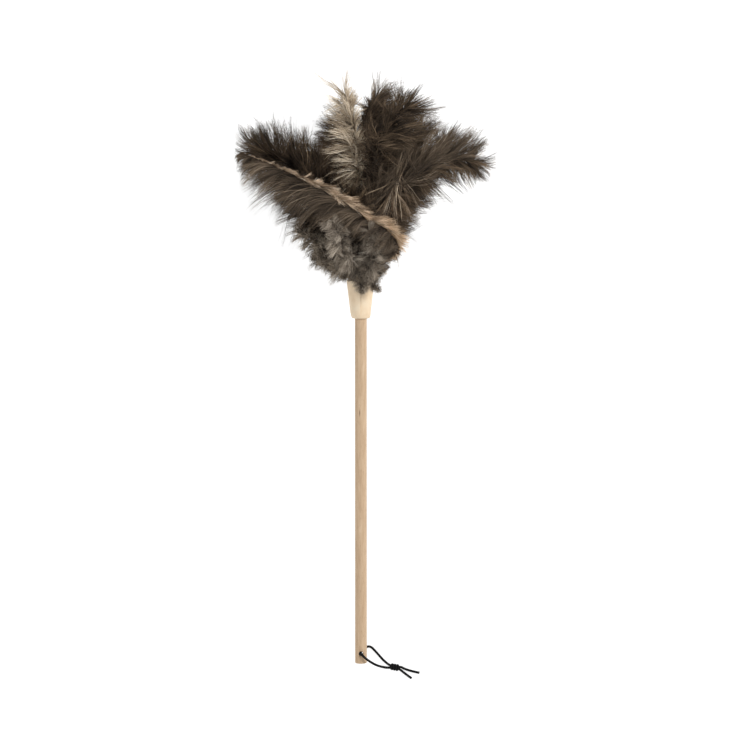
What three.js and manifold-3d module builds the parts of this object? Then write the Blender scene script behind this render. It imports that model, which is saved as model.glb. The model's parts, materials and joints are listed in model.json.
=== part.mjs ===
// A long-handled feather duster lying on a floor, in millimetres, +Z up.
// The handle runs along +Y towards the feathers, sloping up a little, and the floor is z = 0.
// The feathers are soft plumes in nested tiers round the handle's hidden end: each tier is a
// shell like a fountain of water, and each plume is a thin blade in its own sector of its shell.
import * as THREE from 'three';
import { mergeVertices } from 'three/addons/utils/BufferGeometryUtils.js';
import Module from 'manifold-3d';

const wasm = await Module();
wasm.setup();

const RAD = Math.PI / 180;

// Handle: a round dowel with a hanging hole drilled across it near the butt end.
const HANDLE_RADIUS = 9;
const BUTT_CHAMFER = 1.2;
const HOLE_RADIUS = 3.25;
const HOLE_FROM_BUTT = 15.7;
const HANDLE_SIDES = 32;
const HOLE_SIDES = 24;
const HOLE_MOUTH = 1.3; // each end of the hole widens by this much over this depth

// Cuff: leather turned over on itself at its lower edge, a cone from there to its rim.
const CUFF_BOTTOM = 528; // along the handle, from the butt
const CUFF_LENGTH = 58;
const RIM_RADIUS = 21;
const CUFF_BOTTOM_RADIUS = 15;
const LEATHER = 2.2;
const INNER_LAYER_LENGTH = 15;
const FIT_GAP = 0.3; // between the dowel and the leather round it
const EDGE_ROUNDING = 0.5; // of the leather's cut edge at the rim
const FOLD_LIP = 0.6; // of extra leather inside the fold
const FOLD_TURNS = [180, 210, 240, 270, 300, 330, 360]; // degrees round the fold
const CUFF_SIDES = 40;
const RIM = CUFF_BOTTOM + CUFF_LENGTH;
const CORE_PAST_RIM = 3; // how far the dowel runs on inside the feathers

// Wire that binds the quills and the cuff's inner layer.
const WIRE_RADIUS = 0.5;
const WIRE_TURNS = 3;
const WIRE_PITCH = 1.5;
const WIRE_GAP = 0.4; // between the wire and what it binds
const WIRE_SIDES = 6;
const WIRE_STEPS = 16; // in each turn
const CUFF_WIRE_ALONG = CUFF_BOTTOM + 8;
const INNER_WIRE_ALONG = RIM - 14;
const OUTER_WIRE_ALONG = RIM - 9;

// How the duster lies: the cord props up the butt and the lowest plumes hold up the head.
const HOLE_MOUTH_HEIGHT = 4.8; // of the lower mouth of the hanging hole
const RIM_HEIGHT = 77.85; // of the handle's axis at the cuff's rim
const HOLE_HEIGHT = HOLE_MOUTH_HEIGHT + HANDLE_RADIUS;
const SLOPE = Math.asin((RIM_HEIGHT - HOLE_HEIGHT) / (RIM - HOLE_FROM_BUTT));
const BUTT_HEIGHT = HOLE_HEIGHT - HOLE_FROM_BUTT * Math.sin(SLOPE);

// Feathers. A tier's shell leans by SPREAD * open degrees, and bends by CURL * open more per mm.
const INNER_RING = { radius: 10.6, end: -34 }; // the quills next to the dowel, from the rim
const OUTER_RING = { radius: 14.6, end: -20 };
const RIM_RING = { radius: 17.4, end: -3.5 };
const QUILL_RADIUS = 1.1;
const RIM_QUILL_RADIUS = 0.8;
const SPREAD = 60;
const CURL = 0.22;
const FLOOR_SIDE_CLOSING = 0.5; // the plumes beneath the handle open less by this share
const STRAIGHT_QUILL = 50; // a quill keeps its place in the ring for this length
const SPREAD_DONE = 130; // and has reached its plume's own path here
const SECTOR_GAP = 3.0; // between neighbouring blades of a tier
const BLADE_STARTS = 0.08; // shares of a plume's length: where its blade begins to widen,
const BLADE_WIDENS = 0.5; // how much of the length it widens over,
const BLADE_WIDEST = 0.72; // and where it starts to round off to the tip
const BLADE_SIDES = 6;
const BLADE_CORNERS = Array.from({ length: BLADE_SIDES }, (_, i) => {
  const turn = (2 * Math.PI * i) / BLADE_SIDES;
  return [Math.cos(turn), Math.sin(turn)]; // across the blade, and through it
});
const QUILL_ROWS = [0, 7, 16, 30, 48]; // distances along a quill that its blade bends at
const QUILL_ROWS_SHARE = 0.6; // of a short plume's length, beyond which those rows are left out
const ROW_LENGTH = 34; // between the rows of the wide part, at most

// Each tier: how far its shell opens, where past the rim it starts to lean, and its plumes.
// Each plume: azimuth at its base and at its tip, length and greatest half-width.
// Azimuth is in degrees round the handle: 0 is +X, 90 is up, 180 is -X and 270 is the floor.
const TIERS = [
  {
    name: 'core_plume', open: 0.09, start: 10, ring: INNER_RING,
    plumes: [[40, 42, 290, 34], [128, 132, 305, 34], [222, 225, 285, 34], [315, 310, 285, 34]],
  },
  {
    name: 'inner_plume', open: 0.22, start: 8, ring: INNER_RING,
    plumes: [[12, 8, 290, 40], [52, 40, 305, 42], [112, 118, 150, 34], [172, 168, 215, 40],
      [232, 235, 260, 40], [300, 305, 262, 40]],
  },
  {
    name: 'middle_plume', open: 0.36, start: 6, ring: INNER_RING,
    plumes: [[5, -2, 268, 46], [48, 40, 235, 36], [92, 92, 110, 30], [140, 152, 200, 36],
      [188, 184, 292, 48], [242, 238, 262, 46], [298, 302, 262, 46]],
  },
  {
    name: 'outer_plume', open: 0.52, start: 7, ring: OUTER_RING,
    plumes: [[38, 22, 280, 52], [76, 70, 120, 34], [112, 153, 272, 56], [168, 188, 250, 40],
      [205, 218, 250, 40], [243, 243, 240, 40], [297, 297, 240, 40], [341, 340, 250, 40]],
  },
  {
    name: 'lower_plume', open: 0.68, start: 4, ring: OUTER_RING,
    plumes: [[20, 16, 92, 26], [68, 66, 100, 30], [112, 116, 112, 32], [160, 164, 128, 32],
      [205, 208, 124, 32], [248, 248, 120, 30], [292, 292, 120, 30], [336, 335, 98, 26]],
  },
  {
    name: 'ruff_feather', open: 0.9, start: 1.5, ring: OUTER_RING,
    plumes: [[2, 2, 50, 18], [40, 40, 60, 20], [80, 80, 62, 22], [122, 122, 66, 22],
      [162, 162, 78, 22], [202, 202, 74, 22], [242, 242, 66, 20], [282, 282, 66, 20],
      [322, 322, 68, 22]],
  },
  // Small feathers that fold back over the cuff's rim, outside every other tier.
  {
    name: 'rim_feather', lean: 80, curl: 2.0, start: 1.4, ring: RIM_RING,
    plumes: [[60, 60, 40, 11], [86, 86, 46, 11], [112, 112, 40, 11], [232, 232, 40, 11],
      [300, 300, 40, 11]],
  },
];

// Hanging cord, threaded through the hole and knotted beside the handle.
const CORD_RADIUS = 1.9;
const CORD_SIDES = 8;
const CORD_STEP = 2.6;
const CORD_LOW = 2.05; // height of the cord's centre where it lies on the floor
const KNOT_END_RADIUS = 4.3;
const KNOT_RADIUS = 5.4;
const KNOT_LENGTH = 16;
const KNOT_SIDES = 12;
const KNOT_CENTRE = [51.6, HOLE_FROM_BUTT - 23.0, 5.6];
const KNOT_HEADING = -10 * RAD;

// The loop's route from the knot over the handle, down the hole and back to the knot, in x, y
// from the hole's centre and height.
const LOOP_ROUTE = [
  [42.4, -23.8, 4.7], [38.0, -23.5, 6.2], [33.2, -22.3, 9.6], [28.0, -20.6, 14.0],
  [23.0, -18.4, 18.4], [17.8, -15.4, 22.2], [12.4, -11.8, 25.0], [7.9, -8.4, 25.9],
  [4.55, -5.7, 26.0], [2.6, -3.45, 25.4], [0.9, -1.55, 23.7], [-0.2, -0.3, 21.2],
  [-0.6, 0.15, 18.2], [-0.7, 0.05, 13.7], [-0.65, -0.1, 9.25], [-0.25, 0.3, 6.5],
  [0.9, 1.35, 4.2], [2.6, 2.95, 2.6], [4.6, 4.8, CORD_LOW], [6.4, 6.4, CORD_LOW],
  [8.9, 7.8, CORD_LOW], [11.8, 8.3, CORD_LOW], [14.7, 7.7, CORD_LOW], [17.3, 6.0, CORD_LOW],
  [20.6, 2.6, CORD_LOW], [24.4, -1.5, CORD_LOW], [28.9, -6.6, 2.2], [33.4, -11.6, 2.8],
  [38.2, -15.8, 3.8], [43.0, -19.3, 4.7],
];
const TAIL_ROUTES = {
  cord_tail_front: [
    [60.5, -22.9, 4.7], [65.0, -24.9, 4.0], [70.4, -27.1, 2.9], [76.4, -29.0, 2.2],
    [83.0, -30.6, CORD_LOW], [89.4, -31.9, CORD_LOW],
  ],
  cord_tail_back: [
    [60.2, -27.2, 4.6], [64.0, -30.3, 3.6], [68.4, -33.8, 2.6], [73.0, -37.2, CORD_LOW],
    [77.4, -40.4, CORD_LOW],
  ],
};

const WOOD = new THREE.MeshStandardMaterial({ color: 0xc9ae8b, roughness: 0.62 });
const LEATHER_LOOK = new THREE.MeshStandardMaterial({ color: 0xe0cbaa, roughness: 0.55 });
const STEEL = new THREE.MeshStandardMaterial({ color: 0x8f9296, roughness: 0.4, metalness: 1 });
const CORD_LOOK = new THREE.MeshStandardMaterial({ color: 0x141414, roughness: 0.8 });
const DARK_FEATHER = new THREE.MeshStandardMaterial({ color: 0x463a30, roughness: 0.9 });
const PALE_FEATHER = new THREE.MeshStandardMaterial({ color: 0x9c8870, roughness: 0.9 });
const GREY_FEATHER = new THREE.MeshStandardMaterial({ color: 0x655a50, roughness: 0.9 });

// Welds a geometry's shared vertices, and turns its faces outwards.
function closed(geometry) {
  const bare = geometry.index ? geometry.toNonIndexed() : geometry;
  bare.deleteAttribute('normal');
  bare.deleteAttribute('uv');
  const welded = mergeVertices(bare, 1e-3);
  const triangles = Array.from(welded.index.array);
  const corners = welded.attributes.position;
  const kept = [];
  let volume = 0;
  const [a, b, c] = [new THREE.Vector3(), new THREE.Vector3(), new THREE.Vector3()];
  for (let i = 0; i < triangles.length; i += 3) {
    const [p, q, r] = triangles.slice(i, i + 3);
    if (p === q || q === r || r === p) continue;
    kept.push(p, q, r);
    a.fromBufferAttribute(corners, p);
    b.fromBufferAttribute(corners, q);
    c.fromBufferAttribute(corners, r);
    volume += a.dot(b.cross(c));
  }
  welded.setIndex(volume < 0 ? kept.reverse() : kept);
  welded.computeVertexNormals();
  return welded;
}

// Cuts the second closed geometry out of the first.
function cut(body, tool) {
  const [kept, removed] = [body, tool].map((geometry) => new wasm.Manifold(new wasm.Mesh({
    numProp: 3,
    vertProperties: geometry.attributes.position.array,
    triVerts: new Uint32Array(geometry.index.array),
  })));
  const mesh = kept.subtract(removed).getMesh();
  const result = new THREE.BufferGeometry();
  result.setAttribute('position', new THREE.BufferAttribute(mesh.vertProperties, 3));
  result.setIndex(new THREE.BufferAttribute(mesh.triVerts, 1));
  return result;
}

function named(name, geometry, material) {
  const mesh = new THREE.Mesh(geometry, material);
  mesh.name = name;
  return mesh;
}

// A closed body turned about the handle's axis, from [radius, distance along the axis] points.
function turned(profile, segments) {
  const points = profile.map(([radius, along]) => new THREE.Vector2(radius, along));
  return closed(new THREE.LatheGeometry(points, segments));
}

// A round tube along a smooth curve through the points.
function tube(points, radius, sides, step) {
  const route = new THREE.CatmullRomCurve3(
    points.map(([x, y, z]) => new THREE.Vector3(x, y, z)), false, 'centripetal',
  );
  const corner = (i) => [radius * Math.cos(i), radius * Math.sin(i)];
  const turns = Array.from({ length: sides }, (_, i) => (2 * Math.PI * i) / sides);
  const section = new THREE.Shape(turns.map((turn) => new THREE.Vector2(...corner(turn))));
  const steps = Math.max(2, Math.round(route.getLength() / step));
  return closed(new THREE.ExtrudeGeometry(section, { steps, extrudePath: route, curveSegments: 1 }));
}

function handle() {
  const length = RIM + CORE_PAST_RIM;
  const dowel = turned([
    [0, 0], [HANDLE_RADIUS - BUTT_CHAMFER, 0], [HANDLE_RADIUS, BUTT_CHAMFER],
    [HANDLE_RADIUS, length], [0, length],
  ], HANDLE_SIDES);
  const inner = HANDLE_RADIUS - HOLE_MOUTH;
  const outer = HANDLE_RADIUS + HOLE_MOUTH;
  const wide = HOLE_RADIUS + 2 * HOLE_MOUTH;
  const drill = turned([
    [0, -outer], [wide, -outer], [HOLE_RADIUS, -inner],
    [HOLE_RADIUS, inner], [wide, outer], [0, outer],
  ], HOLE_SIDES);
  drill.rotateX(Math.PI / 2).translate(0, HOLE_FROM_BUTT, 0);
  return named('handle', cut(dowel, drill), WOOD);
}

// The cuff's section: an inner layer along the dowel, a round fold at the bottom, and the cone.
function cuff() {
  const inner = HANDLE_RADIUS + FIT_GAP;
  const innerOut = inner + LEATHER;
  const coneIn = CUFF_BOTTOM_RADIUS - LEATHER;
  const innerTop = CUFF_BOTTOM + INNER_LAYER_LENGTH;
  const foldMiddle = (inner + CUFF_BOTTOM_RADIUS) / 2;
  const foldRadius = foldMiddle - inner;
  const hollowBottom = CUFF_BOTTOM + foldRadius + FOLD_LIP;
  const fold = FOLD_TURNS.map((turn) => [
    foldMiddle + foldRadius * Math.cos(turn * RAD),
    CUFF_BOTTOM + foldRadius * (1 + Math.sin(turn * RAD)),
  ]);
  return named('cuff', turned([
    [inner, innerTop], ...fold,
    [RIM_RADIUS, RIM - EDGE_ROUNDING], [RIM_RADIUS - EDGE_ROUNDING, RIM],
    [RIM_RADIUS - LEATHER + EDGE_ROUNDING, RIM], [RIM_RADIUS - LEATHER, RIM - EDGE_ROUNDING],
    [coneIn, hollowBottom], [innerOut, hollowBottom],
    [innerOut, innerTop], [inner, innerTop],
  ], CUFF_SIDES), LEATHER_LOOK);
}

// A few tight turns of wire round the handle's axis.
function wire(name, radius, along) {
  const points = [];
  for (let i = 0; i <= WIRE_TURNS * WIRE_STEPS; i += 1) {
    const turn = (2 * Math.PI * i) / WIRE_STEPS;
    const rise = (WIRE_PITCH * i) / WIRE_STEPS;
    points.push([radius * Math.cos(turn), along + rise, radius * Math.sin(turn)]);
  }
  const step = (2 * Math.PI * radius) / WIRE_STEPS;
  return named(name, tube(points, WIRE_RADIUS, WIRE_SIDES, step), STEEL);
}

const ease = (x) => {
  const t = Math.min(Math.max(x, 0), 1);
  return t * t * (3 - 2 * t);
};

// The point at a distance along a tier's shell, and the shell's outward normal, in the head's
// frame: x, distance past the rim along the handle, and height above the handle's axis.
function shellPoint(tier, azimuth, along) {
  const opening = 1 - FLOOR_SIDE_CLOSING * Math.max(0, -Math.sin(azimuth));
  const lean = (tier.lean ?? SPREAD * tier.open) * RAD * opening;
  const curl = (tier.curl ?? CURL * tier.open) * RAD * opening;
  const out = Math.max(along, 0);
  const heading = along < 0 ? 0 : lean + curl * out;
  const radius = tier.ring.radius + (Math.cos(lean) - Math.cos(lean + curl * out)) / curl;
  const past = tier.start + (Math.sin(lean + curl * out) - Math.sin(lean)) / curl
    + Math.min(along, 0);
  const [cx, cz] = [Math.cos(azimuth), Math.sin(azimuth)];
  return {
    radius,
    point: new THREE.Vector3(radius * cx, past, radius * cz),
    normal: new THREE.Vector3(Math.cos(heading) * cx, -Math.sin(heading), Math.cos(heading) * cz),
  };
}

// Azimuths of the quills in a ring: evenly spaced, in the order of their plumes.
function quillAzimuths(tiers) {
  const quills = tiers.flatMap((tier) => tier.plumes.map((plume) => ({ tier, plume })));
  quills.sort((a, b) => ((a.plume[0] + 360) % 360) - ((b.plume[0] + 360) % 360));
  const spacing = 360 / quills.length;
  const drift = quills.reduce(
    (sum, quill, i) => sum + ((quill.plume[0] + 360) % 360) - spacing * i, 0,
  ) / quills.length;
  return new Map(quills.map(({ plume }, i) => [plume, spacing * i + drift]));
}

const SEATS = new Map([INNER_RING, OUTER_RING].flatMap(
  (ring) => [...quillAzimuths(TIERS.filter((tier) => tier.ring === ring))],
));

// The azimuth in radians of a plume's middle line at a distance along it.
function azimuthAlong(plume, along) {
  const [first, last, length] = plume;
  const seat = SEATS.get(plume) ?? first;
  const path = first + (last - first) * ease(along / length);
  const nearPath = path + 360 * Math.round((seat - path) / 360);
  const left = ease((along - STRAIGHT_QUILL) / (SPREAD_DONE - STRAIGHT_QUILL));
  return (seat + (nearPath - seat) * left) * RAD;
}

// Room on one side of a plume's middle line: half the way to its neighbour in the tier.
function room(tier, index, side, along, radius) {
  const count = tier.plumes.length;
  const neighbour = tier.plumes[(index + side + count) % count];
  const apart = azimuthAlong(neighbour, along) - azimuthAlong(tier.plumes[index], along);
  const wrapped = ((side * apart) % (2 * Math.PI) + 2 * Math.PI) % (2 * Math.PI);
  return (wrapped / 2) * radius - SECTOR_GAP / 2;
}

// The share of its greatest width that a blade has at a share of its length.
function outline(share) {
  const pastWidest = (share - BLADE_WIDEST) / (1 - BLADE_WIDEST);
  if (pastWidest < 0) return ease((share - BLADE_STARTS) / BLADE_WIDENS);
  return Math.sqrt(Math.max(0, 1 - pastWidest ** 2));
}

// Distances along a plume that its blade has a row of corners at, from inside the cuff to the tip.
function rowsAlong(tier, length) {
  const quillRows = QUILL_ROWS.filter((row) => row < length * QUILL_ROWS_SHARE);
  const rows = [tier.ring.end - tier.start, ...quillRows];
  const last = rows[rows.length - 1];
  const rest = Math.ceil((length - last) / ROW_LENGTH) + 1;
  for (let i = 1; i <= rest; i += 1) {
    rows.push(last + (length - last) * Math.sin((i / rest) * 90 * RAD));
  }
  return rows;
}

// A closed post over rings of corners. Its two broad sides are split along the same diagonals, so
// that they keep apart where the post twists.
function post(rings) {
  const sides = rings[0].length;
  const last = rings.length - 1;
  const triangles = [];
  for (let row = 0; row < last; row += 1) {
    for (let side = 0; side < sides; side += 1) {
      const next = (side + 1) % sides;
      const [a, b] = [rings[row][side], rings[row][next]];
      const [c, d] = [rings[row + 1][side], rings[row + 1][next]];
      if (side < sides / 2) triangles.push(a, c, d, a, d, b);
      else triangles.push(a, c, b, c, d, b);
    }
  }
  for (let side = 1; side < sides - 1; side += 1) {
    triangles.push(rings[0][0], rings[0][side], rings[0][side + 1]);
    triangles.push(rings[last][0], rings[last][side + 1], rings[last][side]);
  }
  return closed(new THREE.BufferGeometry().setFromPoints(triangles));
}

// A plume: an even-sided post bent along its sector of the tier's shell.
function plumeBlade(tier, index) {
  const plume = tier.plumes[index];
  const [, , length, halfWidth] = plume;
  const quill = tier.ring === RIM_RING ? RIM_QUILL_RADIUS : QUILL_RADIUS;
  return post(rowsAlong(tier, length).map((along) => {
    const azimuth = azimuthAlong(plume, along);
    const { radius } = shellPoint(tier, azimuth, along);
    const wanted = quill + halfWidth * outline(Math.max(0, along / length));
    return BLADE_CORNERS.map(([across, thick]) => {
      const space = room(tier, index, across < 0 ? -1 : 1, along, radius);
      const offset = across * Math.max(quill, Math.min(wanted, space));
      const spot = shellPoint(tier, azimuth + offset / radius, along);
      return spot.point.addScaledVector(spot.normal, thick * quill);
    });
  }));
}

function featherLook(tier, index) {
  if (tier.name === 'core_plume' && index === 1) return PALE_FEATHER;
  return tier.ring === INNER_RING ? DARK_FEATHER : GREY_FEATHER;
}

function head() {
  const group = new THREE.Group();
  group.position.y = RIM;
  for (const tier of TIERS) {
    tier.plumes.forEach((_, i) => {
      group.add(named(`${tier.name}_${i + 1}`, plumeBlade(tier, i), featherLook(tier, i)));
    });
  }
  return group;
}

function duster() {
  const group = new THREE.Group();
  group.position.z = BUTT_HEIGHT;
  group.rotation.x = SLOPE;
  group.add(
    handle(),
    cuff(),
    wire('cuff_wire', HANDLE_RADIUS + FIT_GAP + LEATHER + WIRE_GAP + WIRE_RADIUS, CUFF_WIRE_ALONG),
    wire('inner_wire', (INNER_RING.radius + OUTER_RING.radius) / 2, INNER_WIRE_ALONG),
    wire('outer_wire', OUTER_RING.radius + QUILL_RADIUS + WIRE_GAP + WIRE_RADIUS, OUTER_WIRE_ALONG),
    head(),
  );
  return group;
}

function knot() {
  const half = KNOT_LENGTH / 2;
  const body = named('cord_knot', turned([
    [0, -half], [KNOT_END_RADIUS, -half], [KNOT_RADIUS, -half / 2], [KNOT_RADIUS, half / 2],
    [KNOT_END_RADIUS, half], [0, half],
  ], KNOT_SIDES), CORD_LOOK);
  body.rotation.z = KNOT_HEADING - Math.PI / 2;
  body.position.set(...KNOT_CENTRE);
  return body;
}

function hangingCord() {
  const group = new THREE.Group();
  const fromHole = ([x, y, z]) => [x, y + HOLE_FROM_BUTT, z];
  const loop = tube(LOOP_ROUTE.map(fromHole), CORD_RADIUS, CORD_SIDES, CORD_STEP);
  group.add(named('hang_cord', loop, CORD_LOOK), knot());
  for (const [name, route] of Object.entries(TAIL_ROUTES)) {
    const tail = tube(route.map(fromHole), CORD_RADIUS, CORD_SIDES, CORD_STEP);
    group.add(named(name, tail, CORD_LOOK));
  }
  return group;
}

// The origin is the middle of the floor beneath the duster itself, without its cord.
const body = duster();
const extent = new THREE.Box3().setFromObject(body, true);
const root = new THREE.Group();
root.add(body, hangingCord());
root.position.set(
  -(extent.min.x + extent.max.x) / 2,
  -(extent.min.y + extent.max.y) / 2,
  -extent.min.z,
);

export default root;
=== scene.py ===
"""A feather duster lying on a pale floor, seen from straight above.

Lengths are millimetres until a mesh is made, which is in metres. Three frames are used: the
scene's, with z up from the floor; the duster's, with x across the handle, y along it from the
butt and z up from it; and the head's, which is the duster's with y counted from the cuff's rim.
"""

import json
import math

import bpy
import numpy as np
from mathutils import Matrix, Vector


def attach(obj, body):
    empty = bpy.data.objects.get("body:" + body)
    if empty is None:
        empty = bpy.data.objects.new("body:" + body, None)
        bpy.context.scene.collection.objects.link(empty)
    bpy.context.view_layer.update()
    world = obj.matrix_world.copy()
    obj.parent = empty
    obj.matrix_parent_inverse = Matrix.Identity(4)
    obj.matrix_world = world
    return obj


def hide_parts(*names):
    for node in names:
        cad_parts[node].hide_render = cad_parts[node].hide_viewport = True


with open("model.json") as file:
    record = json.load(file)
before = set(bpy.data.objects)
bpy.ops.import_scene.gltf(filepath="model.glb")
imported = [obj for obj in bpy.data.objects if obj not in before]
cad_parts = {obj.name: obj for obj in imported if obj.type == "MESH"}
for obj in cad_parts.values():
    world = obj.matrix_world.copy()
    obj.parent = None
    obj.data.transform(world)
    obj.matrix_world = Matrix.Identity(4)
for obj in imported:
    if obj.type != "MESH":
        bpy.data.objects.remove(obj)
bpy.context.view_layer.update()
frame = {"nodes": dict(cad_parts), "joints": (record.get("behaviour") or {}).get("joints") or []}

MM = 0.001
HOLE = np.array(frame["joints"][0]["pos_m"]) / MM

# Handle, hanging hole and cuff, as in the part.
HANDLE_RADIUS = 9.0
BUTT_CHAMFER = 1.2
HOLE_RADIUS = 3.25
HOLE_MOUTH = 1.3  # each end of the hole widens by this much over this depth
HOLE_FROM_BUTT = 15.7
CUFF_BOTTOM = 528.0  # along the handle, from the butt
CUFF_BOTTOM_RADIUS = 15.0
RIM = 586.0
RIM_RADIUS = 21.0
CORE_PAST_RIM = 3.0  # how far the dowel runs on inside the feathers

# The way the duster lies, as in the part.
HOLE_HEIGHT = 13.8  # of the handle's axis at the hole
RIM_HEIGHT = 77.85  # of the axis at the cuff's rim
SLOPE = math.asin((RIM_HEIGHT - HOLE_HEIGHT) / (RIM - HOLE_FROM_BUTT))
BUTT_HEIGHT = HOLE_HEIGHT - HOLE_FROM_BUTT * math.sin(SLOPE)
ORIGIN = HOLE - np.array([0.0, HOLE_FROM_BUTT, HOLE_HEIGHT])

# The handle's mesh.
HANDLE_SIDES = 64
BUTT_RINGS = 5
SHAFT_STARTS = 8.0  # where the evenly spaced rings begin
SHAFT_RINGS = 60
HOLE_SIDES = 32

# The handle's colours: a small dark mark on top of it, and painted shade that makes the bore dark inside.
MARK_PLACE = np.array([HOLE[0] - 1.8, HOLE[1] + 366.0, 64.0])
MARK_RADII = np.array([10 / 9, 20 / 3, 25.0])
BORE_SHADE_RADII = np.array([2 * HOLE_RADIUS, 2 * HOLE_RADIUS, 1e6])  # a cylinder without ends

# The cuff's leather, wrapped round and lapped.
LEATHER = 1.7
LAP = math.radians(26)
SEAM = math.radians(118)  # azimuth of the edge where the leather starts, on the inside
LINING_GAP = 0.35  # between the dowel and the layer that is turned in against it
LINING_LENGTH = 13.0
RIM_INSET = 0.9  # the cone starts this much inside its size, as the lap makes it thicker
BOTTOM_INSET = 0.4
CONE_POINTS = 14
CUFF_STEPS = 150  # round the cuff

# The shells that the plumes lie in, as in the part. A tier's shell leans by SPREAD * open
# degrees, and bends by CURL * open more per millimetre.
INNER_RING = {"radius": 10.6, "end": -34.0}  # of the quills next to the dowel, from the rim
OUTER_RING = {"radius": 14.6, "end": -20.0}
RIM_RING = {"radius": 17.4, "end": -3.5}
SPREAD = 60.0
CURL = 0.22
FLOOR_SIDE_CLOSING = 0.5  # the plumes beneath the handle open less by this share
STRAIGHT_QUILL = 50.0  # a quill keeps its place in the ring for this length
SPREAD_DONE = 130.0  # and has reached its plume's own path here

# Each tier: how far its shell opens, where past the rim it starts to lean, and its plumes.
# Each plume: azimuth at its base and at its tip, and length. Azimuth is in degrees round the
# handle: 0 is +x, 90 is up, 180 is -x and 270 is the floor.
TIERS = {
    "core_plume": dict(open=0.09, start=10, ring=INNER_RING, plumes=[
        (40, 42, 290), (128, 132, 305), (222, 225, 285), (315, 310, 285)]),
    "inner_plume": dict(open=0.22, start=8, ring=INNER_RING, plumes=[
        (12, 8, 290), (52, 40, 305), (112, 118, 150), (172, 168, 215), (232, 235, 260),
        (300, 305, 262)]),
    "middle_plume": dict(open=0.36, start=6, ring=INNER_RING, plumes=[
        (5, -2, 268), (48, 40, 235), (92, 92, 110), (140, 152, 200), (188, 184, 292),
        (242, 238, 262), (298, 302, 262)]),
    "outer_plume": dict(open=0.52, start=7, ring=OUTER_RING, plumes=[
        (38, 22, 280), (76, 70, 120), (112, 153, 272), (168, 188, 250), (205, 218, 250),
        (243, 243, 240), (297, 297, 240), (341, 340, 250)]),
    "lower_plume": dict(open=0.68, start=4, ring=OUTER_RING, plumes=[
        (20, 16, 92), (68, 66, 100), (112, 116, 112), (160, 164, 128), (205, 208, 124),
        (248, 248, 120), (292, 292, 120), (336, 335, 98)]),
    "ruff_feather": dict(open=0.9, start=1.5, ring=OUTER_RING, plumes=[
        (2, 2, 50), (40, 40, 60), (80, 80, 62), (122, 122, 66), (162, 162, 78),
        (202, 202, 74), (242, 242, 66), (282, 282, 66), (322, 322, 68)]),
    # Small feathers that fold back over the cuff's rim, with their own lean and curl.
    "rim_feather": dict(lean=80.0, curl=2.0, start=1.4, ring=RIM_RING, plumes=[
        (60, 60, 40), (86, 86, 46), (112, 112, 40), (232, 232, 40), (300, 300, 40)]),
}

# The feathers' meshes.
QUILL_POINTS = 8  # along the quill, inside its ring
RACHIS_POINTS = 90  # along the rachis, beyond the rim
QUILL_SIDES = 6
QUILL_RADIUS = 1.1  # at the quill's end
RACHIS_RADIUS = 1.0  # where the rachis begins
RACHIS_TIP_RADIUS = 0.25
BARB_STEPS = 8
VERTICES_PER_BARB = 2 * (BARB_STEPS + 1)
MOST_CLUMPS = 4000  # on one plume
FIRST_SEED = 1000
SEEDS_PER_TIER = 37
FLOOR_CUSHION = 5.0  # barbs bend to stay above the floor from this height down
SOFT_LIMITS = (  # axis, how far from the middle barbs are free, and the most past that
    (0, 176.0, 34.0),
    (2, 196.0, 32.0),
)

# The cord's route, as in the part: x and y from the hole's centre, and height.
CORD_DIAMETER = 3.8
CORD_SIDES = 20
BRAID_DEPTH = 0.11  # of the cord's radius
BRAID_RATE = 1.5  # radians per millimetre
CORD_STEP = 0.35  # between the rings of its mesh
CORD_LOW = 2.05  # height of its centre where it lies on the floor
LOOP_ROUTE = [
    (42.4, -23.8, 4.7), (38.0, -23.5, 6.2), (33.2, -22.3, 9.6), (28.0, -20.6, 14.0),
    (23.0, -18.4, 18.4), (17.8, -15.4, 22.2), (12.4, -11.8, 25.0), (7.9, -8.4, 25.9),
    (4.55, -5.7, 26.0), (2.6, -3.45, 25.4), (0.9, -1.55, 23.7), (-0.2, -0.3, 21.2),
    (-0.6, 0.15, 18.2), (-0.7, 0.05, 13.7), (-0.65, -0.1, 9.25), (-0.25, 0.3, 6.5),
    (0.9, 1.35, 4.2), (2.6, 2.95, 2.6), (4.6, 4.8, CORD_LOW), (6.4, 6.4, CORD_LOW),
    (8.9, 7.8, CORD_LOW), (11.8, 8.3, CORD_LOW), (14.7, 7.7, CORD_LOW), (17.3, 6.0, CORD_LOW),
    (20.6, 2.6, CORD_LOW), (24.4, -1.5, CORD_LOW), (28.9, -6.6, 2.2), (33.4, -11.6, 2.8),
    (38.2, -15.8, 3.8), (43.0, -19.3, 4.7),
]
MIDDLE_OF_HOLE = 13
FRONT_TAIL = [
    (60.5, -22.9, 4.7), (65.0, -24.9, 4.0), (70.4, -27.1, 2.9), (76.4, -29.0, 2.2),
    (83.0, -30.6, CORD_LOW), (89.4, -31.9, CORD_LOW),
]
BACK_TAIL = [
    (60.2, -27.2, 4.6), (64.0, -30.3, 3.6), (68.4, -33.8, 2.6), (73.0, -37.2, CORD_LOW),
    (77.4, -40.4, CORD_LOW),
]
KNOT_CENTRE = np.array([51.6, -23.0, 5.6])
FRONT_IN_KNOT = (51.6, -23.8, 4.4)
BACK_IN_KNOT = (51.6, -22.4, 6.6)
KNOT_HEADING = math.radians(-10)
KNOT_GRIP = 3.5  # radius that the cord's turns have round each other
KNOT_FLATTENING = 0.96  # of that radius, upright
KNOT_PITCH = 7.8  # of each of the two ends, which lie side by side
KNOT_TURNS = 0.85  # each way from the middle
KNOT_STEPS = 60

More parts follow.
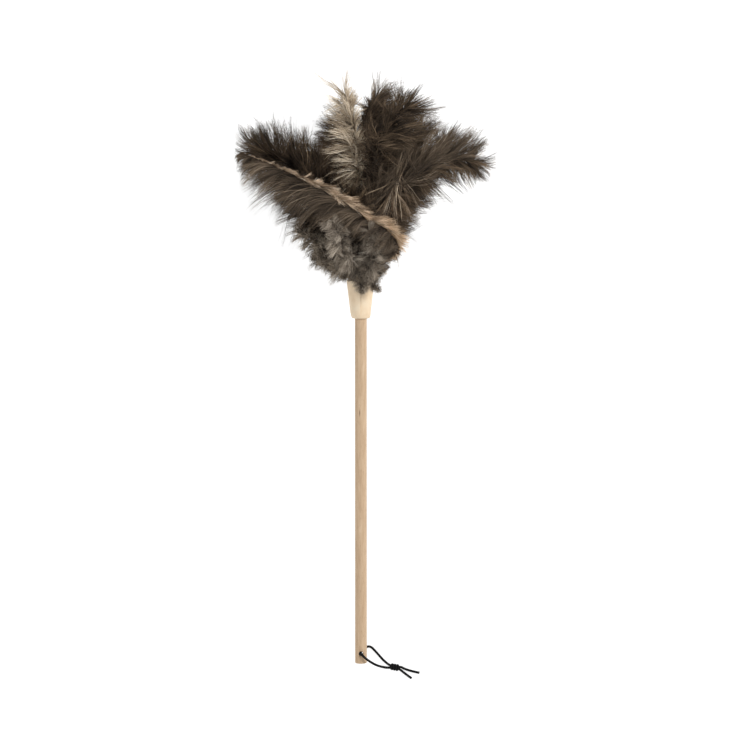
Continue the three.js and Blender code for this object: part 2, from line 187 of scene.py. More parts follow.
# The stage, in metres.
FLOOR_HALF_WIDTH = 6.0
KEY_PLACE = (2.3, 1.1, 2.3)
FILL_PLACE = (-2.2, -0.6, 2.6)
LIT_PLACE = (0, 0.1, 0.05)  # what the lights point at
SKY_STRENGTH = 0.64
CAMERA_PLACE = (0.0108, 0.0003)  # over the middle of the duster
FRAME_WIDTH = 1.138  # that the camera sees on the floor
LENS_MM = 150
SENSOR_MM = 36
FAR_CLIP = 50


def unit(v):
    """v, or each row of v, at length one."""
    return v / np.maximum(np.linalg.norm(v, axis=-1, keepdims=True), 1e-9)


def ease(x):
    """0 below 0, 1 above 1, and a smooth step between them."""
    t = np.clip(x, 0, 1)
    return t * t * (3 - 2 * t)


def to_scene(points):
    """Points in the duster's frame as points in the scene's, still in millimetres."""
    p = np.asarray(points, float)
    c, s = math.cos(SLOPE), math.sin(SLOPE)
    y = p[..., 1] * c - p[..., 2] * s
    z = p[..., 1] * s + p[..., 2] * c + BUTT_HEIGHT
    return np.stack([p[..., 0], y, z], -1) + ORIGIN


def head_to_scene(points):
    return to_scene(np.asarray(points, float) + [0.0, RIM, 0.0])


# ---------------- meshes


def mesh_object(name, vertices, faces, material, attributes=None):
    """A smooth mesh object from points in millimetres in the scene's frame, and its faces."""
    mesh = bpy.data.meshes.new(name)
    vertices = np.asarray(vertices, float) * MM
    sizes = np.array([len(face) for face in faces], np.int32)
    starts = np.concatenate([[0], np.cumsum(sizes)[:-1]]).astype(np.int32)
    corners = np.concatenate([np.asarray(face, np.int32).ravel() for face in faces])
    mesh.vertices.add(len(vertices))
    mesh.vertices.foreach_set("co", vertices.astype(np.float32).ravel())
    mesh.loops.add(len(corners))
    mesh.loops.foreach_set("vertex_index", corners)
    mesh.polygons.add(len(sizes))
    mesh.polygons.foreach_set("loop_start", starts)
    mesh.polygons.foreach_set("loop_total", sizes)
    mesh.polygons.foreach_set("use_smooth", np.full(len(sizes), True))
    mesh.update(calc_edges=True)
    mesh.validate()
    for key, values in (attributes or {}).items():
        layer = mesh.attributes.new(key, "FLOAT", "POINT")
        layer.data.foreach_set("value", np.asarray(values, np.float32))
    mesh.materials.append(material)
    made = bpy.data.objects.new(name, mesh)
    bpy.context.scene.collection.objects.link(made)
    return made


def grid_faces(rows, columns):
    """Quads between rows of vertices, each of which is a closed ring."""
    row = np.arange(rows - 1)[:, None] * columns
    column = np.arange(columns)[None, :]
    a = row + column
    b = row + (column + 1) % columns
    return np.stack([a, b, b + columns, a + columns], -1).reshape(-1, 4)


def closed_faces(rows, columns):
    """The same, with its two ends closed by fans on two more vertices."""
    ring = np.arange(columns)
    after = (ring + 1) % columns
    count = rows * columns
    last = count - columns
    start = np.stack([after, ring, np.full(columns, count)], -1)
    end = np.stack([last + ring, last + after, np.full(columns, count + 1)], -1)
    return [*grid_faces(rows, columns), *start, *end]


def distances(route):
    """How far along a route each of its points is."""
    return np.concatenate([[0], np.cumsum(np.linalg.norm(np.diff(route, axis=0), axis=1))])


def smooth_route(points, step):
    """Evenly spaced points on a smooth curve through the given ones."""
    steps_between = 24
    p = np.asarray(points, float)
    p = np.vstack([2 * p[0] - p[1], p, 2 * p[-1] - p[-2]])
    t = np.linspace(0, 1, steps_between, endpoint=False)[:, None]
    made = []
    for a, b, c, d in zip(p[:-3], p[1:-2], p[2:-1], p[3:]):
        square = 2 * a - 5 * b + 4 * c - d
        cube = 3 * b - a - 3 * c + d
        made.append(0.5 * (2 * b + (c - a) * t + square * t**2 + cube * t**3))
    dense = np.vstack([*made, p[-2]])
    run = distances(dense)
    even = np.linspace(0, run[-1], max(3, int(round(run[-1] / step)) + 1))
    return np.stack([np.interp(even, run, dense[:, axis]) for axis in range(3)], -1)


def cross_directions(route):
    """Two steady directions across a route, at each of its points."""
    tangent = unit(np.gradient(route, axis=0))
    up = np.array([0.0, 0.0, 1.0]) if abs(tangent[0][2]) < 0.9 else np.array([1.0, 0.0, 0.0])
    side = [unit(np.cross(tangent[0], up))]
    for t in tangent[1:]:
        side.append(unit(side[-1] - t * np.dot(side[-1], t)))
    side = np.array(side)
    return side, np.cross(tangent, side)


def tube(route, radii, sides, relief=None):
    """Vertices and faces of a closed tube along a route; relief(angle, distance) scales its radius."""
    side, up = cross_directions(route)
    angle = np.arange(sides) * 2 * np.pi / sides
    radius = np.broadcast_to(np.asarray(radii, float), (len(route),))[:, None] * np.ones(sides)
    if relief is not None:
        radius = radius * relief(angle[None, :], distances(route)[:, None])
    ring = side[:, None] * np.cos(angle)[None, :, None] + up[:, None] * np.sin(angle)[None, :, None]
    body = (route[:, None] + ring * radius[..., None]).reshape(-1, 3)
    return np.vstack([body, route[0], route[-1]]), closed_faces(len(route), sides)


# ---------------- materials


def grey(level):
    return (level, level, level)


class Nodes:
    """Short calls for building one material."""

    def __init__(self, name):
        self.material = bpy.data.materials.new(name)
        self.material.use_nodes = True
        self.tree = self.material.node_tree
        self.shader = self.tree.nodes["Principled BSDF"]

    def add(self, kind, **settings):
        node = self.tree.nodes.new(kind)
        for key, value in settings.items():
            setattr(node, key, value)
        return node

    def link(self, a, b):
        self.tree.links.new(a, b)

    def plug(self, socket, value):
        """Links a socket to another, or sets a number or a colour on it."""
        if isinstance(value, bpy.types.NodeSocket):
            self.link(value, socket)
        elif isinstance(value, tuple):
            socket.default_value = (*value, 1)
        else:
            socket.default_value = value

    def set(self, **values):
        for key, value in values.items():
            self.shader.inputs[key.replace("_", " ")].default_value = value

    def coordinates(self, kind="POINT", **settings):
        """Object coordinates through a mapping that has these settings."""
        where = self.add("ShaderNodeTexCoord")
        mapping = self.add("ShaderNodeMapping", vector_type=kind)
        for key, value in settings.items():
            mapping.inputs[key].default_value = value
        self.link(where.outputs["Object"], mapping.inputs["Vector"])
        return mapping.outputs["Vector"]

    def distance(self, centre, radii, slope=0.0):
        """Distance from a centre, counted in radii along the three axes of a sloping frame."""
        place = self.coordinates("TEXTURE", Location=centre * MM, Rotation=(slope, 0, 0),
                                 Scale=radii * MM)
        length = self.add("ShaderNodeVectorMath", operation="LENGTH")
        self.link(place, length.inputs[0])
        return length.outputs["Value"]

    def noise(self, vector, scale, detail=4.0, roughness=0.55):
        node = self.add("ShaderNodeTexNoise")
        node.inputs["Scale"].default_value = scale
        node.inputs["Detail"].default_value = detail
        node.inputs["Roughness"].default_value = roughness
        self.link(vector, node.inputs["Vector"])
        return node.outputs["Fac"]

    def ramp(self, value, stops):
        node = self.add("ShaderNodeValToRGB")
        ramp = node.color_ramp
        while len(ramp.elements) < len(stops):
            ramp.elements.new(0.5)
        for element, (place, colour) in zip(ramp.elements, stops):
            element.position = place
            element.color = (*colour, 1)
        self.link(value, node.inputs["Fac"])
        return node.outputs["Color"]

    def mix(self, factor, a, b, blend="MIX"):
        node = self.add("ShaderNodeMix", data_type="RGBA", blend_type=blend)
        self.plug(node.inputs[0], factor)
        self.plug(node.inputs[6], a)
        self.plug(node.inputs[7], b)
        return node.outputs[2]

    def maths(self, operation, a, b):
        node = self.add("ShaderNodeMath", operation=operation)
        self.plug(node.inputs[0], a)
        self.plug(node.inputs[1], b)
        return node.outputs[0]

    def attribute(self, name):
        return self.add("ShaderNodeAttribute", attribute_name=name).outputs["Fac"]

    def bump(self, height, strength, distance):
        node = self.add("ShaderNodeBump")
        node.inputs["Strength"].default_value = strength
        node.inputs["Distance"].default_value = distance
        self.link(height, node.inputs["Height"])
        self.link(node.outputs["Normal"], self.shader.inputs["Normal"])

    def colour(self, socket):
        self.link(socket, self.shader.inputs["Base Color"])

    def roughness(self, socket):
        self.link(socket, self.shader.inputs["Roughness"])


def feather_material(name, dark, middle, light, tip, far=None):
    """Barbs: each strand has its own shade, with patches over the plume, and painted shade that makes it
    darker at its root.

    far tints the barbs towards the plume's far end.
    """
    n = Nodes(name)
    patch = n.noise(n.coordinates(), 26.0, 3.0)
    shade = n.maths("ADD", n.maths("MULTIPLY", n.attribute("shade"), 0.8),
                    n.maths("MULTIPLY", patch, 0.25))
    strand = n.ramp(shade, [(0.15, dark), (0.45, middle), (0.80, light), (1.0, tip)])
    # Painted shade along each barb, darkest at its root inside the plume, turning to a little painted
    # light towards its tip.
    root = n.ramp(n.attribute("along"), [
        (0.0, (0.34, 0.32, 0.30)), (0.4, (0.85, 0.84, 0.83)), (0.8, grey(1.15)),
    ])
    shaded = n.mix(1.0, strand, root, "MULTIPLY")
    if far is not None:
        place = n.ramp(n.attribute("share"), [(0.4, grey(0)), (0.62, grey(1))])
        shaded = n.mix(place, shaded, n.mix(1.0, shaded, far, "MULTIPLY"))
    n.colour(shaded)
    n.set(Roughness=0.6, Sheen_Weight=0.05, Sheen_Roughness=0.5, Specular_IOR_Level=0.18)
    return n.material


def quill_material():
    n = Nodes("quill")
    tone = n.noise(n.coordinates(), 60.0)
    n.colour(n.ramp(tone, [(0.3, (0.20, 0.12, 0.06)), (0.7, (0.42, 0.29, 0.16))]))
    n.set(Roughness=0.4, Specular_IOR_Level=0.5)
    return n.material


def wood_material():
    """Beech: fine straight grain along the handle, small ray flecks and soft bands, a dark mark, and
    painted shade inside the hanging hole.
    """
    n = Nodes("beech")
    turn = (-SLOPE, 0, 0)
    grain = n.noise(n.coordinates(Scale=(260, 9, 260), Rotation=turn), 1.0, 6.0, 0.6)
    bands = n.noise(n.coordinates(Scale=(60, 2.2, 60), Rotation=turn), 1.0, 3.0)
    fleck = n.noise(n.coordinates(Scale=(900, 120, 900), Rotation=turn), 1.0, 2.0)
    wood = n.ramp(grain, [
        (0.25, (0.40, 0.265, 0.155)), (0.5, (0.53, 0.375, 0.235)), (0.8, (0.63, 0.475, 0.32)),
    ])
    banded = n.ramp(bands, [(0.35, grey(0)), (0.7, grey(0.55))])
    wood = n.mix(banded, wood, (0.46, 0.32, 0.20))
    flecked = n.ramp(fleck, [(0.60, grey(0)), (0.72, grey(0.5))])
    wood = n.mix(flecked, wood, (0.30, 0.19, 0.11))
    marked = n.ramp(n.distance(MARK_PLACE, MARK_RADII), [(0.3, grey(0.8)), (1.0, grey(0))])
    wood = n.mix(marked, wood, (0.14, 0.075, 0.04))
    # Painted shade: the inside of the hanging hole is coloured near black.
    bore_shade = n.ramp(n.distance(HOLE, BORE_SHADE_RADII, SLOPE), [(0.51, grey(1)), (0.58, grey(0))])
    n.colour(n.mix(bore_shade, wood, (0.018, 0.011, 0.007)))
    n.roughness(n.maths("ADD", n.maths("MULTIPLY", grain, 0.15), 0.42))
    n.bump(grain, 0.25, 0.0003)
    n.set(Specular_IOR_Level=0.4, Coat_Weight=0.08, Coat_Roughness=0.4)
    return n.material


def leather_material():
    """Pale leather with soft clouds and fine pores."""
    n = Nodes("pale_leather")
    where = n.coordinates()
    clouds = n.noise(where, 45.0, 4.0)
    pores = n.add("ShaderNodeTexVoronoi", feature="F1")
    pores.inputs["Scale"].default_value = 900.0
    n.link(where, pores.inputs["Vector"])
    n.colour(n.ramp(clouds, [
        (0.3, (0.66, 0.50, 0.33)), (0.55, (0.76, 0.61, 0.43)), (0.8, (0.78, 0.665, 0.50)),
    ]))
    n.roughness(n.maths("ADD", n.maths("MULTIPLY", clouds, 0.2), 0.4))
    n.bump(pores.outputs["Distance"], 0.25, 0.0002)
    n.set(Specular_IOR_Level=0.35)
    return n.material


def cord_material():
    n = Nodes("black_cord")
    fibre = n.noise(n.coordinates(), 2200.0, 3.0)
    n.colour(n.ramp(fibre, [(0.3, (0.0015, 0.0015, 0.0018)), (0.75, (0.010, 0.0095, 0.010))]))
    n.bump(fibre, 0.4, 0.0002)
    n.set(Roughness=0.7, Specular_IOR_Level=0.12)
    return n.material


def wire_material():
    n = Nodes("binding_wire_steel")
    tone = n.noise(n.coordinates(), 300.0)
    n.colour(n.ramp(tone, [(0.3, (0.28, 0.28, 0.29)), (0.7, (0.45, 0.45, 0.46))]))
    n.set(Metallic=1.0, Roughness=0.35)
    return n.material


# ---------------- plumes


def shell_point(tier, azimuth, along):
    """Points on a tier's shell and its outward normals there, in the head's frame."""
    opening = 1 - FLOOR_SIDE_CLOSING * np.maximum(0, -np.sin(azimuth))
    lean = np.radians(tier.get("lean", SPREAD * tier.get("open", 0))) * opening
    curl = np.radians(tier.get("curl", CURL * tier.get("open", 0))) * opening
    out = np.maximum(along, 0)
    heading = np.where(along < 0, 0, lean + curl * out)
    radius = tier["ring"]["radius"] + (np.cos(lean) - np.cos(lean + curl * out)) / curl
    past = tier["start"] + (np.sin(lean + curl * out) - np.sin(lean)) / curl + np.minimum(along, 0)
    ca, sa = np.cos(azimuth), np.sin(azimuth)
    point = np.stack([radius * ca, past, radius * sa], -1)
    normal = np.stack([np.cos(heading) * ca, -np.sin(heading), np.cos(heading) * sa], -1)
    return point, normal


def ring_seats():
    """Azimuth of each quill in its ring: evenly spaced, in the order of the plumes."""
    seats = {}
    for ring in (INNER_RING, OUTER_RING):
        quills = []
        for name, tier in TIERS.items():
            if tier["ring"] is ring:
                quills += [(plume[0] % 360, name, i) for i, plume in enumerate(tier["plumes"])]
        quills.sort(key=lambda quill: quill[0])
        spacing = 360 / len(quills)
        drift = sum(quill[0] - spacing * i for i, quill in enumerate(quills)) / len(quills)
        for i, (_, name, index) in enumerate(quills):
            seats[name, index] = spacing * i + drift
    return seats


SEATS = ring_seats()


def azimuth_along(name, index, along):
    """A plume's azimuth, in radians: at its seat in the ring, and then on its own path."""
    first, last, length = TIERS[name]["plumes"][index]
    seat = SEATS.get((name, index), first)
    path = first + (last - first) * ease(along / length)
    near = path + 360 * np.round((seat - path) / 360)
    left = ease((along - STRAIGHT_QUILL) / (SPREAD_DONE - STRAIGHT_QUILL))
    return np.radians(seat + (near - seat) * left)


def smooth_noise(rng, count, size):
    """A vector that wanders smoothly between four random ones, for each of count barbs."""
    keys = rng.normal(0, size, (count, 4, 3))
    place = np.linspace(0, 3, BARB_STEPS)
    low = np.minimum(place.astype(int), 2)
    share = (place - low)[None, :, None]
    return keys[:, low] * (1 - share) + keys[:, low + 1] * share


ANGLE_PLACES = (0, 0.5, 1)  # shares of the plume that an angle is given for
PROFILE_PLACES = (0, 0.12, 0.35, 0.7, 1)  # and those that a profile is given for
STYLE = dict(
    barbs=15.0,  # per millimetre of rachis
    reach=44.0,  # millimetres
    ahead=1.0,  # of the reach, on the side of growing azimuth
    behind=1.0,  # the same on the other side
    angle=(70, 50, 34),  # between a barb and the rachis, at the base, middle and tip
    angle_behind=None,  # the same for the other side, where it differs
    roll=32.0,  # spread of the barbs out of the blade, in degrees
    comb=(0, -0.5, -0.25),  # the way the barbs bend: x, along the head, up
    comb_behind=None,  # the same for the other side, where it differs
    comb_base=None,  # the same for the lower half of the plume, where it differs
    wander=0.42,  # how much they waver
    curl=0.6,  # how much they curl towards their tips
    gather=0.9,  # how far the tips of a clump draw together
    strays=0.3,  # share of the barbs that keep out of their clump
    splay=12.0,  # how much wider the clumps' angles scatter towards the tip, in degrees
    clump_length=1.7,  # millimetres of rachis
    width=0.72,  # of a barb at its root, in millimetres
    first=0.10,  # where the barbs begin, as a share of the plume
    end=0.86,  # where the rachis ends
    profile=(0.35, 0.62, 0.95, 1.0, 0.75),  # of the reach along the plume
    profile_behind=None,
    route=None,  # of the rachis, where it differs from the part's blade
    look="dark",
    look_behind=None,
)

# How unevenly the barbs of every plume grow.
TIP_CROWDING = 0.85  # below 1, barbs stand closer towards the tip
CLUMP_ENDS = 0.45  # of a clump's length, that its ends scatter by
CLUMP_BLUR = 0.002  # share of the plume that neighbouring clumps mix over
CLUMP_ANGLE = 7  # degrees, at the base
BARB_ANGLE = 5
BARB_ROLL = 0.45  # of the clumps' roll
CLUMP_REACH = 0.2
BARB_REACH = 0.10
REACH_LIMITS = (0.3, 1.45)
STRAY_GATHER = 0.2  # how far a stray is drawn to its clump, where others are by at least half


def rachis_of(name, index, style):
    """Distances along a plume's quill and rachis, and points and three directions there.

    The directions are along the rachis, across it in the blade, and out of the blade.
    """
    tier = TIERS[name]
    length = tier["plumes"][index][2]
    start = tier["ring"]["end"] - tier["start"]
    along = np.concatenate([np.linspace(start, 0, QUILL_POINTS, endpoint=False),
                            np.linspace(0, length * style["end"], RACHIS_POINTS)])
    point, normal = shell_point(tier, azimuth_along(name, index, along), along)
    if style["route"] is not None:
        quill = point[:QUILL_POINTS]
        point = np.vstack([quill, smooth_route([quill[-1], *style["route"]], 1.0)])
        picks = np.linspace(QUILL_POINTS, len(point) - 1, RACHIS_POINTS).astype(int)
        point = np.vstack([quill, point[picks]])
        normal = unit(point * [1, 0, 1] + [0, 0, 1e-3])
    tangent = unit(np.gradient(point, axis=0))
    across = unit(np.cross(normal, tangent))
    return along, point, (tangent, across, np.cross(tangent, across))


class Barbs:
    """The barbs of one plume. They grow in clumps, and each side has clumps of its own."""

    def __init__(self, rng, style, usable):
        self.rng = rng
        self.style = style
        self.count = int(style["barbs"] * usable * (1 - style["first"]))
        self.share = style["first"] + (1 - style["first"]) * rng.random(self.count) ** TIP_CROWDING
        self.side = np.where(rng.random(self.count) < 0.5, -1.0, 1.0)
        clumps = max(8, int(usable / style["clump_length"]))
        ends = (np.arange(1, clumps + 1) + rng.uniform(-CLUMP_ENDS, CLUMP_ENDS, clumps)) / clumps
        near = self.share + rng.normal(0, CLUMP_BLUR, self.count)
        clump = np.searchsorted(ends, near).clip(0, clumps - 1)
        self.clump = clump + np.where(self.side > 0, clumps, 0)
        self.all_clumps = 2 * clumps

    def per_clump(self, size, dims=()):
        """A random value for each clump, for all of its barbs."""
        return self.rng.normal(0, size, (self.all_clumps, *dims))[self.clump]

    def profiled(self, key, places):
        """A style's value at each barb's place, which may differ on the side behind."""
        behind = self.style[key + "_behind"] or self.style[key]
        return np.where(self.side > 0, np.interp(self.share, places, self.style[key]),
                        np.interp(self.share, places, behind))

    def headings(self, directions):
        """The way that each barb leaves the rachis, and the way straight out from it."""
        tangent, across, normal = directions
        scatter = CLUMP_ANGLE + self.style["splay"] * ease(self.share)
        angle = self.profiled("angle", ANGLE_PLACES)
        angle = angle + self.per_clump(1) * scatter + self.rng.normal(0, BARB_ANGLE, self.count)
        angle = np.radians(np.clip(angle, 0, 170))[:, None]
        spread = self.style["roll"]
        roll = np.radians(self.per_clump(spread) + self.rng.normal(0, spread * BARB_ROLL, self.count))
        out = unit(across * (self.side * np.cos(roll))[:, None] + normal * np.sin(roll)[:, None])
        return tangent * np.cos(angle) + out * np.sin(angle), out

    def reaches(self):
        """How far each barb reaches."""
        share = self.profiled("profile", PROFILE_PLACES)
        share = share * np.where(self.side > 0, self.style["ahead"], self.style["behind"])
        scatter = 1 + self.per_clump(CLUMP_REACH) + self.rng.normal(0, BARB_REACH, self.count)
        return self.style["reach"] * share * np.clip(scatter, *REACH_LIMITS)

    def combing(self):
        """The way that each barb is bent."""
        style = self.style
        comb = np.array([style["comb_behind"] or style["comb"], style["comb"]], float)
        comb = comb[(self.side > 0).astype(int)]
        if style["comb_base"] is not None:
            low = 1 - ease((self.share - 0.5) / 0.25)[:, None]
            comb = comb * (1 - low) + np.array(style["comb_base"]) * low
        return comb

    def grow(self, origin, directions):
        """Centre lines of the barbs: an array of barbs, steps and x, y, z."""
        rng = self.rng
        style = self.style
        heading, out = self.headings(directions)
        step = (self.reaches() / BARB_STEPS)[:, None]
        wander = smooth_noise(rng, self.count, style["wander"]) * 0.5
        wander += smooth_noise(rng, self.all_clumps, style["wander"])[self.clump]
        curl_way = unit(self.per_clump(1.0, (3,)) + rng.normal(0, 0.6, (self.count, 3)))
        comb = self.combing()
        strands = [origin]
        for k in range(BARB_STEPS):
            f = (k + 0.5) / BARB_STEPS
            pull = comb * (0.5 + f) + 0.2 * out + wander[:, k] + style["curl"] * f * f * curl_way
            heading = unit(heading + pull / BARB_STEPS)
            strands.append(strands[-1] + heading * step)
        return self.gathered(np.stack(strands, 1))

    def gathered(self, strands):
        """The same, with the barbs of each clump drawn together towards their tips."""
        sums = np.zeros((self.all_clumps, BARB_STEPS + 1, 3))
        np.add.at(sums, self.clump, strands)
        members = np.maximum(np.bincount(self.clump, minlength=self.all_clumps), 1)
        middle = (sums / members[:, None, None])[self.clump]
        draw = self.style["gather"] * np.linspace(0, 1, BARB_STEPS + 1)[None, :, None]
        stray = self.rng.random((self.count, 1, 1)) < self.style["strays"]
        draw = draw * np.where(stray, STRAY_GATHER, self.rng.uniform(0.5, 1.0, (self.count, 1, 1)))
        return strands + (middle - strands) * draw

    def shades(self):
        """How light each barb is: shared by its clump and the clumps beside it, and its own."""
        clump_shade = self.rng.random(MOST_CLUMPS)[self.clump]
        patch_shade = self.rng.random(MOST_CLUMPS)[self.clump // 3]
        return 0.5 * clump_shade + 0.25 * patch_shade + 0.35 * self.rng.random(self.count) ** 1.6


def ribbons(rng, strands, width):
    """Thin tapered ribbons along the strands, each turned its own way.

    The third result is how far along its strand each vertex is, from 0 to 1.
    """
    count = len(strands)
    heading = unit(np.gradient(strands, axis=1))
    way = unit(rng.normal(0, 1, (count, 1, 3)))
    side = unit(np.cross(heading, way))
    f = np.linspace(0, 1, BARB_STEPS + 1)
    half = 0.5 * width * (1 - 0.85 * f**1.6)[None, :, None] * rng.uniform(0.7, 1.3, (count, 1, 1))
    edges = np.stack([strands - side * half, strands + side * half], 2)
    first = (np.arange(count) * VERTICES_PER_BARB)[:, None]
    base = first + (np.arange(BARB_STEPS) * 2)[None, :]
    faces = np.stack([base, base + 1, base + 3, base + 2], -1).reshape(-1, 4)
    return edges.reshape(-1, 3), faces, np.tile(np.repeat(f, 2), count)


def settle(points):
    """Bends what would pass through the floor or spread too wide, softly."""
    z = points[:, 2]
    pressed = FLOOR_CUSHION * np.exp(np.minimum(z, FLOOR_CUSHION) / FLOOR_CUSHION - 1)
    points[:, 2] = np.where(z > FLOOR_CUSHION, z, pressed)
    for axis, free, most in SOFT_LIMITS:
        v = points[:, axis]
        extra = np.maximum(np.abs(v) - free, 0)
        points[:, axis] = np.sign(v) * (np.minimum(np.abs(v), free) + most * (1 - np.exp(-extra / most)))
    return points


def plume_object(name, index, style, looks):
    """One feather: its barbs as ribbons, with a look for each side, and its quill and rachis."""
    rng = np.random.RandomState(FIRST_SEED + SEEDS_PER_TIER * list(TIERS).index(name) + index)
    usable = TIERS[name]["plumes"][index][2] * style["end"]
    along, point, directions = rachis_of(name, index, style)
    barbs = Barbs(rng, style, usable)

    def at(values):
        return np.stack([np.interp(barbs.share * usable, along, column) for column in values.T], -1)

    strands = barbs.grow(at(point), [unit(at(direction)) for direction in directions])
    vertices, faces, run = ribbons(rng, strands, style["width"])
    shade = barbs.shades()
    radii = np.interp(along, [along[0], 0, along[-1]], [QUILL_RADIUS, RACHIS_RADIUS, RACHIS_TIP_RADIUS])
    quill, quill_faces = tube(point, radii, QUILL_SIDES)
    all_faces = [*faces, *[np.asarray(face) + len(vertices) for face in quill_faces]]
    extra = len(quill)
    attributes = {
        "share": np.concatenate([np.repeat(barbs.share, VERTICES_PER_BARB), np.zeros(extra)]),
        "shade": np.concatenate([np.repeat(shade, VERTICES_PER_BARB), np.full(extra, 0.5)]),
        "along": np.concatenate([run, np.zeros(extra)]),
    }
    node = f"{name}_{index + 1}"
    made = mesh_object(f"feather_{node}", settle(head_to_scene(np.vstack([vertices, quill]))), all_faces,
                       looks[style["look"]], attributes)
    made.data.materials.append(looks["quill"])
    made.data.materials.append(looks[style["look_behind"] or style["look"]])
    picks = np.ones(len(all_faces), np.int32)
    picks[:len(faces)] = np.repeat(np.where(barbs.side > 0, 0, 2), BARB_STEPS)
    made.data.polygons.foreach_set("material_index", picks)
    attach(made, "duster")
    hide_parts(node)
    return made


TIER_STYLES = {
    "core_plume": dict(reach=46),
    "inner_plume": dict(reach=50),
    "middle_plume": dict(reach=52),
    "outer_plume": dict(reach=54, look="brown"),
    "lower_plume": dict(
        look="grey", barbs=20.0, roll=55, curl=3.0, wander=2.0, reach=36, end=0.8,
        comb=(0, -0.4, 0.2), width=0.7, clump_length=2, gather=0.75),
    "ruff_feather": dict(
        look="grey", barbs=30.0, roll=70, curl=3.6, wander=2.4, reach=25, end=0.8,
        comb=(0, -0.2, 0.1), width=0.6, clump_length=1.6, gather=0.75),
    "rim_feather": dict(
        look="grey", barbs=44.0, roll=60, curl=2.0, wander=1.8, reach=14, end=0.75,
        comb=(0, -0.3, 0), width=0.5, clump_length=0.8, gather=0.35, strays=0.5),
}
# Routes of the rachises that bend their own way, in the head's frame.
LEFT_WING_ROUTE = [
    (14, 18, 26), (40, 35, 52), (55, 56, 80), (44, 78, 98), (20, 94, 106), (-15, 117, 108),
    (-44, 135, 106), (-78, 153, 100), (-110, 168, 93), (-146, 184, 84), (-172, 192, 74),
]
LEFT_BACK_ROUTE = [(-16, 60, 22), (-44, 116, 38), (-76, 160, 54), (-112, 184, 62), (-150, 196, 62)]
RIGHT_WING_ROUTE = [
    (9, 20, 24), (20, 70, 50), (34, 116, 76), (60, 146, 86), (92, 168, 90), (122, 182, 86),
    (149, 184, 78), (168, 180, 66),
]
PALE_ROUTE = [
    (-6, 50, 14), (-6, 110, 28), (-4, 150, 54), (-6, 200, 76), (-11, 240, 82), (-19, 276, 76),
]
UNDER_WING_ROUTE = [(2, 40, 28), (2, 78, 58), (-8, 112, 80), (-26, 132, 84)]
HANGING_ROUTE = [(20, 50, 34), (34, 100, 68), (46, 142, 98), (62, 166, 102)]
DOWNY_LEFT_ROUTE = [(-6, 12, 36), (-16, 36, 74), (-28, 64, 104), (-42, 94, 122)]
DOWNY_RIGHT_ROUTE = [(6, 12, 36), (14, 34, 66), (20, 54, 88), (14, 78, 106)]
TOP_ROUTE = [(4, 80, 24), (3, 160, 44), (5, 205, 60), (9, 240, 64), (18, 266, 58)]
RIGHT_TOP_ROUTE = [(14, 80, 34), (20, 160, 60), (32, 208, 74), (48, 240, 78), (70, 262, 70)]
FINE_LOCKS = dict(strays=0.4, clump_length=0.9)
DOWNY = dict(end=0.9, look="downy", barbs=42, curl=4.0, wander=2.6, clump_length=1.5)
